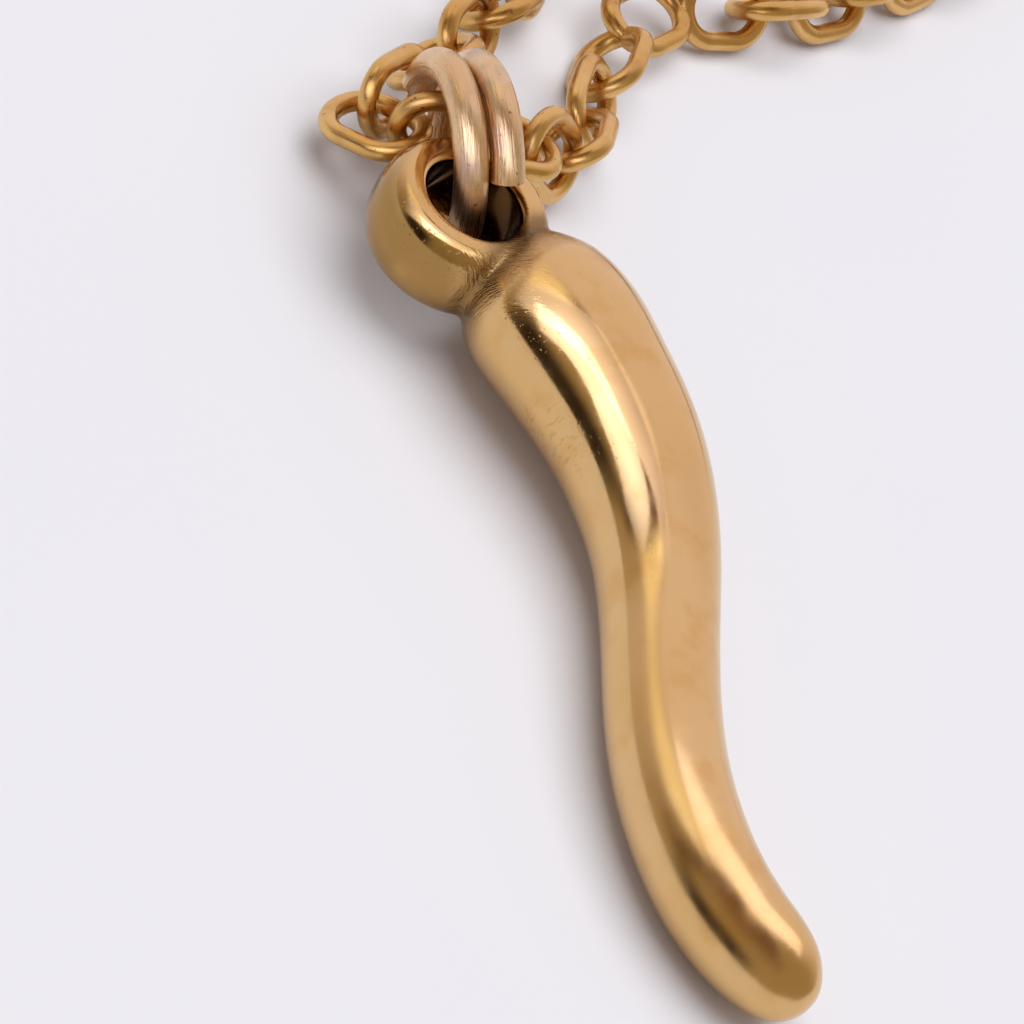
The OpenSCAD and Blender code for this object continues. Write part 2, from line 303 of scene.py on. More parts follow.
def laid(points):
    """Places points that are drawn about the eyelet's axis, in millimetres, into the row frame in metres."""
    return (turned(points) + (0, LAY_Y, 0)) * MM


def settle(holder, name):
    """The evaluated object's result as a plain mesh object, in place of the object itself."""
    graph = bpy.context.evaluated_depsgraph_get()
    data = bpy.data.meshes.new_from_object(
        holder.evaluated_get(graph), preserve_all_data_layers=True, depsgraph=graph)
    old = holder.data
    bpy.data.objects.remove(holder)
    bpy.data.meshes.remove(old)
    data.name = name
    made = bpy.data.objects.new(name, data)
    scene.collection.objects.link(made)
    return made


def coordinates(data):
    """A mesh's corners as an array."""
    flat = np.empty(len(data.vertices) * 3, np.float32)
    data.vertices.foreach_get("co", flat)
    return flat.reshape(-1, 3).astype(float)


def keep_values(data, name, values, kind="FLOAT"):
    """Stores a value for each corner, which materials and geometry trees read by its name."""
    layer = data.attributes.new(name, kind, "POINT")
    field = "vector" if kind == "FLOAT_VECTOR" else "value"
    layer.data.foreach_set(field, np.ascontiguousarray(values, np.float32).ravel())


def make_casting():
    """The horn and its eyelet in one smooth skin."""
    holder = bpy.data.objects.new("rough", rough_casting())
    scene.collection.objects.link(holder)
    remesh = holder.modifiers.new("join", "REMESH")
    remesh.mode = "VOXEL"
    remesh.voxel_size = VOXEL * 1
    remesh.adaptivity = 0
    made = settle(holder, "horn_casting")
    data = made.data
    p = coordinates(data)
    for _ in range(DRAWS):
        deep, n = pendant_depth(p)
        p = p - np.clip(deep, -DRAW_STEP, DRAW_STEP)[:, None] * n
    _, n = pendant_depth(p)
    a, _ = HORN.depth(p)
    b, _ = barrel_depth(p)
    data.vertices.foreach_set("co", laid(p).astype(np.float32).ravel())
    data.update()
    away = np.hypot(p[:, 0], p[:, 1])
    # Where the neck's file marks go, and its brown patina with painted shade along the crease
    crease = np.exp(-((a - b) / CREASE_REACH) ** 2)
    keep_values(data, "crease", crease * np.clip(1 - np.abs(np.minimum(a, b)) / CREASE_REACH, 0, 1))
    # Where painted shade darkens the barrel's outer wall, fading towards the horn
    wall = np.clip((away - EYELET_D / 2 + WALL_DEPTH) / WALL_EDGE, 0, 1)
    keep_values(data, "wall", wall * np.clip((a - b) / WALL_FADE, 0, 1))
    # Where painted light and painted shade go at the hole's edge
    keep_values(data, "hole", np.clip((HOLE_D / 2 + HOLE_EDGE - away) / HOLE_EDGE, 0, 1))
    data.shade_smooth()
    data.normals_split_custom_set_from_vertices(turned(n).astype(np.float32))
    return made


def new_tree(name, inputs):
    """A geometry tree with named inputs, and its input and output nodes."""
    tree = bpy.data.node_groups.new(name, "GeometryNodeTree")
    tree.interface.new_socket(name="Geometry", in_out="INPUT", socket_type="NodeSocketGeometry")
    for label, kind in inputs.items():
        tree.interface.new_socket(name=label, in_out="INPUT", socket_type="NodeSocket" + kind)
    tree.interface.new_socket(name="Geometry", in_out="OUTPUT", socket_type="NodeSocketGeometry")
    return tree, add(tree, "NodeGroupInput"), add(tree, "NodeGroupOutput")


def grow(name, tree, values, data=None):
    """Runs a geometry tree with its named inputs set, and keeps its result as a plain mesh object."""
    holder = bpy.data.objects.new(name, data or bpy.data.meshes.new(name))
    scene.collection.objects.link(holder)
    modifier = holder.modifiers.new("shape", "NODES")
    modifier.node_group = tree
    for item in tree.interface.items_tree:
        if item.item_type == "SOCKET" and item.in_out == "INPUT" and item.name in values:
            modifier[item.identifier] = values[item.name]
    bpy.context.view_layer.update()
    return settle(holder, name)


# The jump ring, in millimetres and degrees, as in the part's source
RING_WIRE, RING_D, RING_GAP, RING_LAP, RING_LEAN, RING_HEAD, RING_START = 1.0, 5.06, 0.06, 146, 13.6, -11, 2
RING_SIDE, RING_PLAY = 0.37, 0.02
# Points along the wire, sides round it, and the share that the end points keep of its width
RING_STEPS, RING_SIDES, RING_BEVEL = 260, 40, 0.93


def ring_tree():
    """A wire bent along a helix: its line, its round section, and flat ends with a slight bevel."""
    tree, given, out = new_tree("bent wire ring", {
        "Wire": "Float", "Diameter": "Float", "Rise each turn": "Float", "Start": "Float", "Sweep": "Float",
        "Middle": "Vector", "Side": "Vector", "Up": "Vector", "Axis": "Vector", "Finish": "Material"})
    g = given.outputs
    line = add(tree, "GeometryNodeCurvePrimitiveLine")
    steps = add(tree, "GeometryNodeResampleCurve", {"Curve": line.outputs[0], "Count": RING_STEPS})
    index = add(tree, "GeometryNodeInputIndex").outputs[0]
    share = add(tree, "ShaderNodeMath", {0: index, 1: RING_STEPS - 1.0}, operation="DIVIDE").outputs[0]
    angle = add(tree, "ShaderNodeMath", {0: share, 1: g["Sweep"], 2: g["Start"]},
                operation="MULTIPLY_ADD").outputs[0]
    half = add(tree, "ShaderNodeMath", {0: g["Diameter"], 1: 0.5}, operation="MULTIPLY").outputs[0]
    past = add(tree, "ShaderNodeMath", {0: angle, 1: math.pi / 2}, operation="SUBTRACT").outputs[0]
    slope = add(tree, "ShaderNodeMath", {0: g["Rise each turn"], 1: 2 * math.pi},
                operation="DIVIDE").outputs[0]
    rise = add(tree, "ShaderNodeMath", {0: past, 1: slope}, operation="MULTIPLY").outputs[0]
    spot = add(tree, "ShaderNodeVectorMath", {0: g["Axis"], 1: rise, 2: g["Middle"]},
               operation="MULTIPLY_ADD").outputs[0]
    for way, operation in (("Side", "COSINE"), ("Up", "SINE")):
        swing = add(tree, "ShaderNodeMath", {0: angle}, operation=operation).outputs[0]
        reach = add(tree, "ShaderNodeMath", {0: swing, 1: half}, operation="MULTIPLY").outputs[0]
        spot = add(tree, "ShaderNodeVectorMath", {0: g[way], 1: reach, 2: spot},
                   operation="MULTIPLY_ADD").outputs[0]
    bent = add(tree, "GeometryNodeSetPosition", {"Geometry": steps.outputs[0], "Position": spot})
    along = add(tree, "ShaderNodeMath", {0: angle, 1: half}, operation="MULTIPLY").outputs[0]
    tied = add(tree, "GeometryNodeStoreNamedAttribute", {
        "Geometry": bent.outputs[0], "Name": "wire_along", "Value": along}, data_type="FLOAT", domain="POINT")
    # The last point at each end draws in, which bevels the sheared edge
    left = add(tree, "ShaderNodeMath", {0: RING_STEPS - 1.0, 1: index}, operation="SUBTRACT").outputs[0]
    edge = add(tree, "ShaderNodeMath", {0: index, 1: left}, operation="MINIMUM").outputs[0]
    bevel = add(tree, "ShaderNodeMapRange", {
        "Value": edge, "From Min": 0.0, "From Max": 1.0, "To Min": RING_BEVEL, "To Max": 1.0}).outputs[0]
    drawn = add(tree, "GeometryNodeSetCurveRadius", {"Curve": tied.outputs[0], "Radius": bevel})
    radius = add(tree, "ShaderNodeMath", {0: g["Wire"], 1: 0.5}, operation="MULTIPLY").outputs[0]
    section = add(tree, "GeometryNodeCurvePrimitiveCircle", {
        "Resolution": RING_SIDES, "Radius": radius}, mode="RADIUS")
    marked = add(tree, "GeometryNodeStoreNamedAttribute", {
        "Geometry": section.outputs[0], "Name": "wire_round",
        "Value": add(tree, "GeometryNodeInputPosition").outputs[0]}, data_type="FLOAT_VECTOR", domain="POINT")
    skin = add(tree, "GeometryNodeCurveToMesh", {
        "Curve": drawn.outputs[0], "Profile Curve": marked.outputs[0], "Fill Caps": True})
    whole = add(tree, "GeometryNodeRealizeInstances", {"Geometry": skin.outputs[0]})
    done = add(tree, "GeometryNodeSetMaterial", {"Geometry": whole.outputs[0], "Material": g["Finish"]})
    tree.links.new(done.outputs[0], out.inputs[0])
    return tree


def make_ring(finish):
    """The jump ring, standing in the eyelet's hole."""
    head, lean = math.radians(RING_HEAD), math.radians(RING_LEAN)
    side = Vector((-math.sin(head), math.cos(head), 0))
    flat = Vector((math.cos(head), math.sin(head), 0))
    top = Vector((0, 0, 1))
    turn = RING_WIRE + RING_GAP
    middle = Vector((RING_SIDE, RING_D / 2 * math.cos(head) - RING_PLAY,
                     RING_WIRE / 2 + RING_D / 2 * math.cos(lean) - turn / 2 * math.sin(lean) + RING_PLAY))
    made = grow("jump_ring_wire", ring_tree(), {
        "Wire": RING_WIRE, "Diameter": RING_D, "Rise each turn": turn, "Start": math.radians(RING_START),
        "Sweep": math.radians(360 + RING_LAP), "Middle": middle, "Side": side,
        "Up": math.cos(lean) * top - math.sin(lean) * flat,
        "Axis": math.cos(lean) * flat + math.sin(lean) * top, "Finish": finish})
    data = made.data
    data.vertices.foreach_set("co", laid(coordinates(data)).astype(np.float32).ravel())
    soften(data, 40)
    return made


def soften(data, crease):
    """Outward faces, smooth shading and crisp edges past an angle in degrees."""
    bm = bmesh.new()
    bm.from_mesh(data)
    bmesh.ops.remove_doubles(bm, verts=bm.verts, dist=1e-7)
    bmesh.ops.recalc_face_normals(bm, faces=bm.faces)
    for face in bm.faces:
        face.smooth = True
    for edge in bm.edges:
        if len(edge.link_faces) == 2 and edge.calc_face_angle() > math.radians(crease):
            edge.smooth = False
    bm.to_mesh(data)
    bm.free()


# The chain's links, in millimetres, as in the part's source
LINK_L, LINK_W, LINK_WIRE = 3.5, 2.6, 0.6
# How many links of a strand are finely shaped, then the steps round a link's end and the sides of its wire,
# for those and for the rest
NEAR, NEAR_SHAPE, FAR_SHAPE = 16, (14, 20), (3, 6)


def link_poses(node):
    """Middle and axes of every loose link of a strand, from its solids, nearest to the pendant first."""
    bm = bmesh.new()
    bm.from_mesh(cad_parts[node].data)
    bmesh.ops.remove_doubles(bm, verts=bm.verts, dist=2e-7)
    bm.verts.ensure_lookup_table()
    seen, poses = set(), []
    for start in bm.verts:
        if start.index in seen:
            continue
        group, queue = set(), [start]
        seen.add(start.index)
        while queue:
            here = queue.pop()
            for face in here.link_faces:
                group.add(face)
            for edge in here.link_edges:
                other = edge.other_vert(here)
                if other.index not in seen:
                    seen.add(other.index)
                    queue.append(other)
        corners = np.array([[v.co[:] for v in f.verts[:3]] for f in group], float)
        area = np.linalg.norm(np.cross(corners[:, 1] - corners[:, 0], corners[:, 2] - corners[:, 0]), axis=1)
        middle = (corners.mean(1) * area[:, None]).sum(0) / area.sum()
        off = corners - middle
        total = off.sum(1)
        spread = np.einsum("f,fvi,fvj->ij", area, off, off) + np.einsum("f,fi,fj->ij", area, total, total)
        _, axes = np.linalg.eigh(spread)
        length, width = axes[:, 2], axes[:, 1]
        poses.append((middle, np.c_[length, width, np.cross(length, width)]))
    bm.free()
    eyelet = np.array([0, LAY_Y * MM, 0])
    return sorted(poses, key=lambda pose: np.linalg.norm(pose[0] - eyelet))


def link_tree():
    """One oval link of round wire, repeated on points that carry its turn."""
    tree, given, out = new_tree("oval links on points", {
        "Length": "Float", "Width": "Float", "Wire": "Float", "End steps": "Int", "Wire sides": "Int",
        "Finish": "Material"})
    g = given.outputs
    long, wide = (add(tree, "ShaderNodeMath", {0: g[side], 1: g["Wire"]}, operation="SUBTRACT").outputs[0]
                  for side in ("Length", "Width"))
    oval = add(tree, "GeometryNodeCurvePrimitiveQuadrilateral", {
        "Width": long, "Height": wide}, mode="RECTANGLE")
    # Just under half the width, so that the ends' arcs don't touch
    bend = add(tree, "ShaderNodeMath", {0: wide, 1: 0.4999}, operation="MULTIPLY").outputs[0]
    path = add(tree, "GeometryNodeFilletCurve", {
        "Curve": oval.outputs[0], "Count": g["End steps"], "Radius": bend, "Limit Radius": True}, mode="POLY")
    measured = add(tree, "GeometryNodeStoreNamedAttribute", {
        "Geometry": path.outputs[0], "Name": "wire_along",
        "Value": add(tree, "GeometryNodeSplineParameter").outputs["Length"]},
        data_type="FLOAT", domain="POINT")
    radius = add(tree, "ShaderNodeMath", {0: g["Wire"], 1: 0.5}, operation="MULTIPLY").outputs[0]
    section = add(tree, "GeometryNodeCurvePrimitiveCircle", {
        "Resolution": g["Wire sides"], "Radius": radius}, mode="RADIUS")
    marked = add(tree, "GeometryNodeStoreNamedAttribute", {
        "Geometry": section.outputs[0], "Name": "wire_round",
        "Value": add(tree, "GeometryNodeInputPosition").outputs[0]}, data_type="FLOAT_VECTOR", domain="POINT")
    link = add(tree, "GeometryNodeCurveToMesh", {
        "Curve": measured.outputs[0], "Profile Curve": marked.outputs[0]})
    turn = add(tree, "GeometryNodeInputNamedAttribute", {"Name": "turn"}, data_type="FLOAT_VECTOR")
    laid_links = add(tree, "GeometryNodeInstanceOnPoints", {
        "Points": g["Geometry"], "Instance": link.outputs[0],
        "Rotation": add(tree, "FunctionNodeEulerToRotation", {0: turn.outputs[0]}).outputs[0]})
    whole = add(tree, "GeometryNodeRealizeInstances", {"Geometry": laid_links.outputs[0]})
    done = add(tree, "GeometryNodeSetMaterial", {"Geometry": whole.outputs[0], "Material": g["Finish"]})
    tree.links.new(done.outputs[0], out.inputs[0])
    return tree


def join(pieces, name):
    """One mesh object out of several."""
    bm = bmesh.new()
    for piece in pieces:
        bm.from_mesh(piece.data)
    data = bpy.data.meshes.new(name)
    for slot in pieces[0].data.materials:
        data.materials.append(slot)
    bm.to_mesh(data)
    bm.free()
    for piece in pieces:
        old = piece.data
        bpy.data.objects.remove(piece)
        bpy.data.meshes.remove(old)
    made = bpy.data.objects.new(name, data)
    scene.collection.objects.link(made)
    return made


def make_chain(node, name, tree, finish, seed):
    """A strand: the links near the pendant finely shaped, the rest with few faces."""
    poses = link_poses(node)
    chance = np.random.default_rng(seed)
    parts = []
    for label, some, (steps, sides) in (("near", poses[:NEAR], NEAR_SHAPE),
                                        ("far", poses[NEAR:], FAR_SHAPE)):
        data = bpy.data.meshes.new(name + label)
        data.from_pydata([tuple(middle / MM) for middle, _ in some], [], [])
        keep_values(data, "turn", [Matrix(axes.tolist()).to_euler()[:] for _, axes in some], "FLOAT_VECTOR")
        keep_values(data, "tone", chance.random(len(some)))
        parts.append(grow(name + label, tree, {
            "Length": LINK_L, "Width": LINK_W, "Wire": LINK_WIRE, "End steps": steps, "Wire sides": sides,
            "Finish": finish}, data))
    made = join(parts, name)
    made.data.transform(Matrix.Scale(MM, 4))
    soften(made.data, 60)
    return made


# The clasp, in millimetres, as in the part's source
CLASP_D, CLASP_L, CLASP_Y, EYE_WIRE = 2.6, 8.0, 57.0, 0.6
# The rounding of its ends at some angles, and the joint line's section: distance from the middle and depth
CLASP_ROUND, ROUND_ANGLES = 0.2, (1.2, 0.8, 0.4, 0.0)
JOINT_LINE = ((0.09, 0.0), (0.06, 0.015), (0.0, 0.07))
# Radius of the small flat that closes each end, sides of the barrel, and steps and sides of an eye's wire
CLASP_POLE, CLASP_SIDES, EYE_STEPS, EYE_SIDES = 0.02, 64, 48, 20


def make_clasp(finish):
    """The barrel with softened ends, a fine joint line round its middle, and an eye at each end."""
    bm = bmesh.new()
    half, r = CLASP_L / 2, CLASP_D / 2
    outline = [(-half, CLASP_POLE), (-half, r - CLASP_ROUND)]
    outline += [(-half + CLASP_ROUND * (1 - math.sin(a)), r - CLASP_ROUND * (1 - math.cos(a)))
                for a in ROUND_ANGLES]
    outline += [(-x, r - deep) for x, deep in JOINT_LINE]
    outline += [(-x, y) for x, y in reversed(outline[:-1])]
    rings = []
    for x, y in outline:
        rings.append([bm.verts.new((x, y * math.cos(a), y * math.sin(a)))
                      for a in np.linspace(0, 2 * math.pi, CLASP_SIDES, endpoint=False)])
    bridge(bm, rings)
    for end in (rings[0], rings[-1]):
        bm.faces.new(end)
    eye_r, wire = (CLASP_D - EYE_WIRE) / 2, EYE_WIRE / 2
    for way in (-1, 1):
        middle = way * (half - EYE_WIRE / 3 + eye_r)
        section = [(eye_r + wire * math.cos(b), wire * math.sin(b))
                   for b in np.linspace(0, 2 * math.pi, EYE_SIDES, endpoint=False)]
        rings = []
        for a in np.linspace(0, 2 * math.pi, EYE_STEPS, endpoint=False):
            rings.append([bm.verts.new((middle + out * math.cos(a), y, out * math.sin(a)))
                          for out, y in section])
        bridge(bm, rings, closed=True)
    bm.transform(Matrix.Scale(MM, 4) @ Matrix.Translation((0, CLASP_Y, CLASP_D / 2)))
    data = bpy.data.meshes.new("clasp_barrel")
    bm.to_mesh(data)
    bm.free()
    data.materials.append(finish)
    soften(data, 35)
    made = bpy.data.objects.new("clasp_barrel", data)
    scene.collection.objects.link(made)
    return made


def new_finish(name):
    """An empty material of that name, its tree, and the place in metres that its patterns are read by."""
    made = bpy.data.materials.new(name)
    made.use_nodes = True
    tree = made.node_tree
    tree.nodes.clear()
    return made, tree, add(tree, "ShaderNodeTexCoord").outputs["Object"]


def plate(tree, found, patterns, steps, sums, base, coats, relief):
    """Gold plate over brass, from rows of data. What a row makes is found by its name from then on.

    A pattern is noise: where it is read, its waves to a millimetre and its detail. A step runs smoothly over
    a stretch of something found, from one strength to another. A sum is one thing times a second plus a
    third, kept between 0 and 1. A coat lays its tone over the base by a strength. Relief is in millimetres.
    """
    for name, where, per_mm, detail in patterns:
        found[name] = add(tree, "ShaderNodeTexNoise", {
            "Vector": found[where], "Scale": per_mm / MM, "Detail": detail}).outputs["Fac"]
    for name, source, low, high, least, most in steps:
        found[name] = add(tree, "ShaderNodeMapRange", {
            "Value": found[source], "From Min": low, "From Max": high, "To Min": least, "To Max": most},
            interpolation_type="SMOOTHSTEP").outputs[0]
    for name, *terms in sums:
        given = {i: found.get(term, term) for i, term in enumerate(terms)}
        found[name] = add(tree, "ShaderNodeMath", given, operation="MULTIPLY_ADD", use_clamp=True).outputs[0]
    tone = linear(base)
    for name, code in coats:
        tone = add(tree, "ShaderNodeMix", {0: found[name], 6: tone, 7: linear(code)},
                   data_type="RGBA").outputs[2]
    height = 0.0
    for name, high in relief:
        height = add(tree, "ShaderNodeMath", {0: found[name], 1: high, 2: height},
                     operation="MULTIPLY_ADD").outputs[0]
    bump = add(tree, "ShaderNodeBump", {"Height": height, "Distance": MM, "Strength": 1.0})
    body = add(tree, "ShaderNodeBsdfPrincipled", {
        "Base Color": tone, "Metallic": 1.0, "Roughness": found["rough"], "Normal": bump.outputs[0]})
    add(tree, "ShaderNodeOutputMaterial", {"Surface": body.outputs[0]})


# Where the horn's finish changes: on the floor under the eyelet, and low on the shoulder's left flank
EYELET_FOOT = (0.0, LAY_Y * MM, 0.0)
FLANK = (5.6 * MM, -97.9 * MM, 1.9 * MM)


def cast_gold():
    """Gold-plated cast brass, polished by hand: a mirror that dulls towards the tip, with pits and small
    file strokes near the eyelet, painted shade in patches on the barrel's wall, brown patina with painted
    shade in the neck's crease, and painted light and painted shade at the hole's edge."""
    made, tree, spot = new_finish("cast_polished_gold_plate")
    found = {"spot": spot}
    for name, change in (("stroke place", {"Scale": (1, 1, 0.35)}),
                         ("file place", {"Rotation": (0, 0.5, 0.9), "Scale": (1, 8, 1)})):
        found[name] = add(tree, "ShaderNodeMapping", {"Vector": spot, **change}).outputs[0]
    for name in ("crease", "hole", "wall"):
        found[name] = add(tree, "ShaderNodeAttribute", attribute_name=name).outputs["Fac"]
    for name, place in (("away", EYELET_FOOT), ("off flank", FLANK)):
        found[name] = add(tree, "ShaderNodeVectorMath", {0: spot, 1: place},
                          operation="DISTANCE").outputs["Value"]
    # Clouds of tone are 6 mm wide and blotches 1.2 mm. Pits and strokes are 0.1 mm wide, and the pits come in
    # patches of 2.5 mm. The painted shade on the wall comes in patches of 2 mm, the polish ripples every 0.5
    # mm, and file marks are 0.05 mm apart. A cast grain under plate is too fine to show, so it is drawn 0.08
    # mm wide.
    plate(
        tree, found, base="DFB981",
        patterns=(
            ("warm", "spot", 0.18, 3.0), ("mottle", "spot", 0.8, 5.0), ("pits", "spot", 11.0, 2.0),
            ("patches", "spot", 0.4, 2.0), ("strokes", "stroke place", 10.0, 2.0), ("wall_painted_shade", "spot", 0.5, 2.0),
            ("rough", "spot", 1.4, 4.0), ("ripple", "spot", 2.2, 4.0), ("files", "file place", 2.6, 3.0),
            ("grain", "spot", 13.0, 2.0)),
        steps=(
            ("warm", "warm", 0.35, 0.65, 0.0, 1.0), ("mottle", "mottle", 0.48, 0.72, 0.0, 0.4),
            ("pits", "pits", 0.65, 0.76, 0.0, 0.8), ("patches", "patches", 0.45, 0.6, 0.0, 1.0),
            ("strokes", "strokes", 0.54, 0.7, 0.0, 0.7), ("wall_painted_shade", "wall_painted_shade", 0.3, 0.6, 0.55, 0.95),
            ("rough", "rough", 0.3, 0.7, 0.09, 0.16), ("dulled", "away", 9 * MM, 24 * MM, 0.0, 0.11),
            ("near", "away", 10 * MM, 15 * MM, 1.0, 0.0),
            ("on flank", "off flank", 0.9 * MM, 2.1 * MM, 1.0, 0.0),
            # Brown patina with painted shade in the neck's crease; painted light on the hole's inner wall,
            # and painted shade deep in the hole
            ("neck_patina_and_shade", "crease", 0.2, 1.0, 0.0, 0.75), ("painted_hole_light", "hole", 0.0, 0.5, 0.0, 0.6),
            ("dark", "hole", 0.35, 1.0, 0.0, 0.85)),
        sums=(
            ("patches", "patches", "near", 0.0), ("strokes", "strokes", "on flank", 0.0),
            ("pitted", "pits", "patches", "strokes"), ("stained", "pitted", 0.4, 0.0),
            ("wall_painted_shade", "wall_painted_shade", "wall", 0.0), ("files", "files", "crease", 0.0),
            ("rough", "dulled", 1.0, "rough")),
        coats=(
            # Painted shade on the barrel's wall, and brown patina with painted shade in the neck's crease
            ("warm", "DAB276"), ("mottle", "CF9A50"), ("wall_painted_shade", "A37E47"), ("neck_patina_and_shade", "6E5028"),
            # Painted light on the hole's inner wall, and painted shade deep in the hole
            ("painted_hole_light", "B9762A"), ("dark", "38230F"), ("stained", "8A6A38")),
        relief=(("pitted", -0.007), ("ripple", 0.0012), ("grain", 0.0007), ("files", 0.05)))
    return made


def wire_gold(name, light, deep, tarnish, amount, rough_low, rough_high, groove):
    """Drawn brass wire under gold plate: fine lengthwise draw lines, patches of duller film, dark specks."""
    made, tree, spot = new_finish(name)
    found = {"spot": spot}
    for label, attribute, field in (("around", "wire_round", "Vector"), ("along", "wire_along", "Fac"),
                                    ("tone", "tone", "Fac")):
        found[label] = add(tree, "ShaderNodeAttribute", attribute_name=attribute).outputs[field]
    # The wire laid out straight and much shortened, in millimetres, so that noise on it draws out to lines.
    # Real draw lines are about 0.02 mm apart and too fine to show, so these are 0.07 mm apart.
    short = add(tree, "ShaderNodeMath", {0: found["along"], 1: 0.06}, operation="MULTIPLY").outputs[0]
    length = add(tree, "ShaderNodeCombineXYZ", {"Z": short}).outputs[0]
    straight = add(tree, "ShaderNodeVectorMath", {0: found["around"], 1: length}, operation="ADD").outputs[0]
    found["lines"] = add(tree, "ShaderNodeTexNoise", {
        "Vector": straight, "Scale": 14.0, "Detail": 3.0}).outputs["Fac"]
    # Clouds of tone 2 mm wide, film in patches of 1.1 mm, specks of 0.2 mm
    plate(
        tree, found, base=light,
        patterns=(("warm", "spot", 0.5, 3.0), ("film", "spot", 0.9, 4.0), ("specks", "spot", 5.5, 2.0)),
        steps=(
            ("warm", "warm", 0.35, 0.65, 0.0, 1.0), ("film", "film", 0.46, 0.66, 0.0, amount),
            ("specks", "specks", 0.69, 0.76, 0.0, 0.8), ("each", "tone", 0.0, 1.0, 0.0, 0.25),
            ("rough", "lines", 0.3, 0.7, rough_low, rough_high)),
        sums=(("rough", "film", 0.15, "rough"),),
        coats=(("warm", deep), ("film", tarnish), ("specks", "5A4440"), ("each", deep)),
        relief=(("lines", groove),))
    return made


def turned_gold():
    """Turned and polished brass under gold plate, with faint turning marks round it."""
    made, tree, spot = new_finish("turned_polished_gold_plate")
    # Clouds of tone 2 mm wide, and turning marks 0.17 mm apart, because real ones are too fine to show
    turning = add(tree, "ShaderNodeMapping", {"Vector": spot, "Scale": (1, 0.02, 0.02)}).outputs[0]
    plate(
        tree, {"spot": spot, "turning": turning}, base="E3B565",
        patterns=(("rings", "turning", 6.0, 2.0), ("warm", "spot", 0.5, 2.0)),
        steps=(("warm", "warm", 0.35, 0.65, 0.0, 1.0), ("rough", "rings", 0.3, 0.7, 0.14, 0.24)),
        sums=(), coats=(("warm", "DAA651"),), relief=(("rings", 0.003),))
    return made


def card():
    """Matt pale card: no gloss to speak of, faint clouds 20 mm wide, and a tooth too fine to see."""
    made, tree, spot = new_finish("matt_pale_card")
    cloud = add(tree, "ShaderNodeTexNoise", {
        "Vector": spot, "Scale": 0.05 / MM, "Detail": 2.0}).outputs["Fac"]
    tone = add(tree, "ShaderNodeMix", {0: cloud, 6: linear("EEEDF1"), 7: linear("EBEAEF")},
               data_type="RGBA").outputs[2]
    body = add(tree, "ShaderNodeBsdfPrincipled", {
        "Base Color": tone, "Roughness": 0.9, "Specular IOR Level": 0.2})
    add(tree, "ShaderNodeOutputMaterial", {"Surface": body.outputs[0]})
    return made


# Half the floor's width in metres, and how far it lies below the pieces, so that nothing touches it edge on
FLOOR_HALF, FLOOR_DROP = 2.0, 0.00003


def make_floor():
    """The pale surface that everything lies on."""
    data = bpy.data.meshes.new("floor")
    corners = [(x * FLOOR_HALF, y * FLOOR_HALF, 0) for x, y in ((-1, -1), (1, -1), (1, 1), (-1, 1))]
    data.from_pydata(corners, [], [(0, 1, 2, 3)])
    data.materials.append(card())
    made = bpy.data.objects.new("floor", data)
    scene.collection.objects.link(made)
    made.location.z = -FLOOR_DROP


# What the metal mirrors: azimuth and rise of a panel's middle, its half width, half height and soft edge, all
# in degrees, then its colour and strength. A later row covers an earlier one, and ROOM is what lies between.
PANELS = [
    ("pale wall on the right", 107, 38, 66, 68, 60, "FFF4FA", 0.92),
    ("black card low in front", -127, 6, 22, 17, 20, "FFDBC2", 0.04),
    ("black card on the left", -155, 35, 7, 19, 14, "FFCFA7", 0.13),
    ("dim ceiling in front", -127, 74, 68, 22, 43, "FFC6B3", 0.19),
    ("softbox on the left", 174, 50, 14, 17, 16, "FFF5D8", 1.20),
]
ROOM = ("FFE8BD", 0.42)
# Softboxes near the pendant that the metal alone sees, in millimetres and degrees: name, middle, the point
# that it faces, width, height, turn, strength, spread and colour
NEAR_LIGHTS = [
    ("shoulder softbox", (-3.4, -106.8, 18.2), (5, -97, 4.4), 8.2, 16.8, -46, 0.39, 69, "DDE3FF"),
    ("tip softbox", (17.2, -102.1, 16.9), (17, -107, 3), 22.3, 9.2, 18, 1.08, 168, "DDE3FF"),
    ("eyelet softbox", (-2.6, -97.7, 9.7), (-1, -92, 4), 22.0, 6.2, 24, 0.80, 111, "E6E8FF"),
]
# What lights the floor: the big softbox overhead, which nothing mirrors, and even light from all round
KEY = ((78, -30, 1050), (8, -100, 0), 1155, 1155, 0, 2.50, 180, "FFFFFF")
FILL = ("FAF8FE", 0.35)


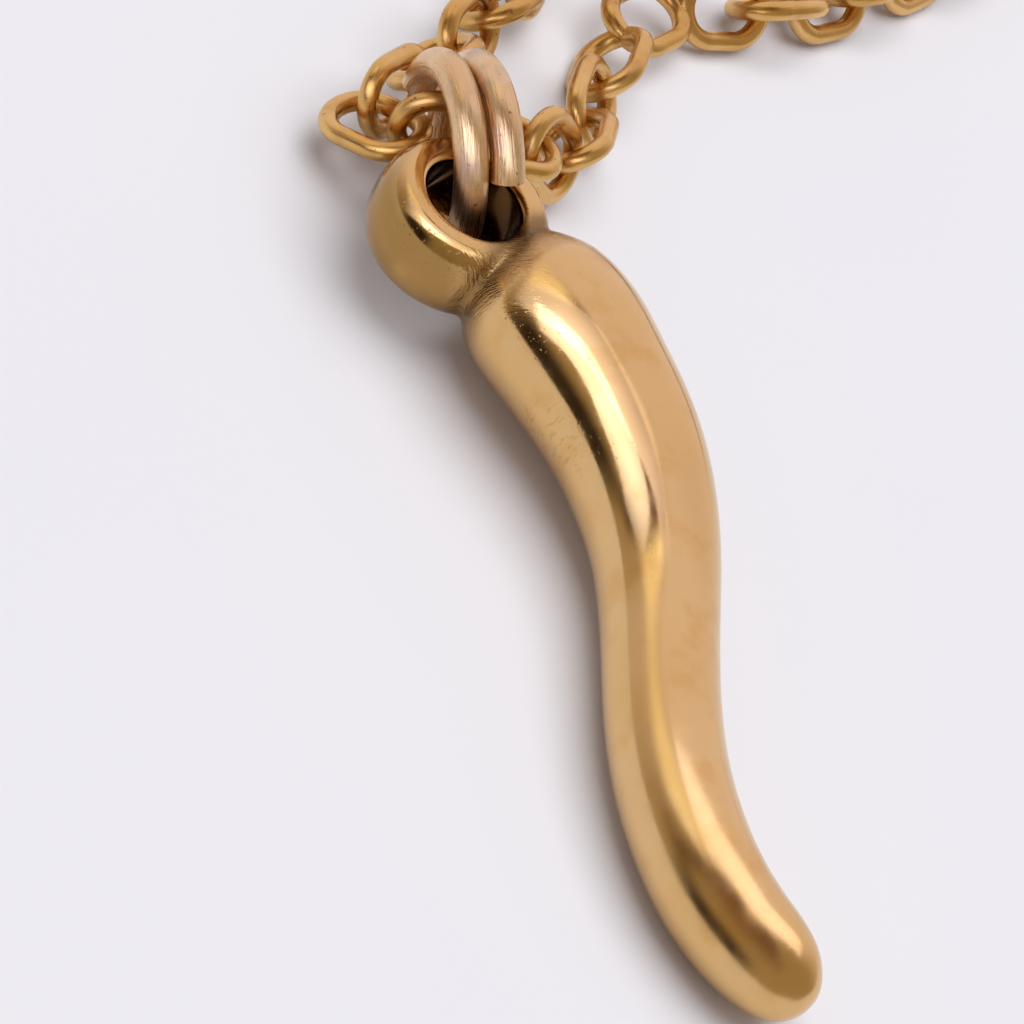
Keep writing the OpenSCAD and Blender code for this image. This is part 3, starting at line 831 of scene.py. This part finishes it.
def light_room():
    """The world: mirrored panels for the metal, and even light for everything else."""
    world = bpy.data.worlds.new("studio")
    scene.world = world
    world.use_nodes = True
    world.cycles.sampling_method = "NONE"
    tree = world.node_tree
    tree.nodes.clear()
    way = add(tree, "ShaderNodeTexCoord").outputs["Generated"]
    upward = add(tree, "ShaderNodeSeparateXYZ", {0: way}).outputs[2]
    rise = add(tree, "ShaderNodeMath", {0: upward}, operation="ARCSINE").outputs[0]
    shade = [c * ROOM[1] for c in linear(ROOM[0])[:3]] + [1.0]
    for name, azimuth, high, wide, tall, edge, colour, strength in PANELS:
        here = add(tree, "ShaderNodeVectorRotate", {"Vector": way, "Angle": -math.radians(azimuth)},
                   rotation_type="Z_AXIS").outputs[0]
        parts = add(tree, "ShaderNodeSeparateXYZ", {0: here})
        turn = add(tree, "ShaderNodeMath", {0: parts.outputs[1], 1: parts.outputs[0]},
                   operation="ARCTAN2").outputs[0]
        cover = 1.0
        for value, middle, half in ((turn, 0.0, wide), (rise, math.radians(high), tall)):
            past = add(tree, "ShaderNodeMath", {0: value, 1: middle}, operation="SUBTRACT").outputs[0]
            off = add(tree, "ShaderNodeMath", {0: past}, operation="ABSOLUTE").outputs[0]
            part = add(tree, "ShaderNodeMapRange", {
                "Value": off, "From Min": math.radians(half - edge / 2),
                "From Max": math.radians(half + edge / 2), "To Min": 1.0, "To Max": 0.0},
                interpolation_type="SMOOTHSTEP").outputs[0]
            cover = add(tree, "ShaderNodeMath", {0: part, 1: cover}, operation="MULTIPLY").outputs[0]
        bright = [c * strength for c in linear(colour)[:3]] + [1.0]
        shade = add(tree, "ShaderNodeMix", {0: cover, 6: shade, 7: bright},
                    data_type="RGBA", label=name).outputs[2]
    mirrored = add(tree, "ShaderNodeBackground", {"Color": shade, "Strength": 1.0})
    even = add(tree, "ShaderNodeBackground", {"Color": linear(FILL[0]), "Strength": FILL[1]})
    glossy = add(tree, "ShaderNodeLightPath").outputs["Is Glossy Ray"]
    both = add(tree, "ShaderNodeMixShader", {0: glossy, 1: even.outputs[0], 2: mirrored.outputs[0]})
    add(tree, "ShaderNodeOutputWorld", {"Surface": both.outputs[0]})


def light(name, middle, facing, wide, tall, turn, strength, spread, colour):
    """A rectangular softbox of a given brightness that faces a point."""
    data = bpy.data.lights.new(name, "AREA")
    data.shape = "RECTANGLE"
    data.size, data.size_y = wide * MM, tall * MM
    data.energy = strength * math.pi * data.size * data.size_y
    data.spread = math.radians(spread)
    data.color = linear(colour)[:3]
    made = bpy.data.objects.new(name, data)
    aim = (Vector(facing) - Vector(middle)).to_track_quat("-Z", "Y").to_matrix().to_4x4()
    spin = Matrix.Rotation(math.radians(turn), 4, "Z")
    made.matrix_world = Matrix.Translation(Vector(middle) * MM) @ aim @ spin
    made.visible_camera = False
    scene.collection.objects.link(made)
    return made


def light_near():
    """The softboxes near the pendant, and the big one overhead."""
    for row in NEAR_LIGHTS:
        light(*row).visible_diffuse = False
    light("key softbox", *KEY).visible_glossy = False


# The wires' light and deep tone, tarnish and its amount, least and most roughness, and draw lines' depth in
# millimetres
RING_TONES = ("E8C9A0", "DEB98A", "AE948C", 0.5, 0.22, 0.36, 0.03)
CHAIN_TONES = ("E3BA7A", "D6A861", "A97C48", 0.3, 0.22, 0.34, 0.008)


def main():
    """Everything in its place: each piece tied to the root body, and the part's node that it stands for
    hidden.
    """
    place_camera()
    scene.view_settings.view_transform = "Standard"
    light_room()
    light_near()
    make_floor()

    casting = make_casting()
    casting.data.materials.clear()
    casting.data.materials.append(cast_gold())
    ring = make_ring(wire_gold("drawn_wire_rosy_gold_plate", *RING_TONES))
    chain_finish = wire_gold("drawn_wire_deep_gold_plate", *CHAIN_TONES)
    links = link_tree()
    left = make_chain("chain_left", "chain_links_left", links, chain_finish, 11)
    right = make_chain("chain_right", "chain_links_right", links, chain_finish, 12)
    clasp = make_clasp(turned_gold())

    for piece, node, slot in ((casting, "horn_pendant", "horn_gold"), (ring, "jump_ring", "ring_gold"),
                              (left, "chain_left", "chain_gold"), (right, "chain_right", "chain_gold"),
                              (clasp, "clasp", "clasp_gold")):
        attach(piece, "root")
        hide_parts(node)


main()
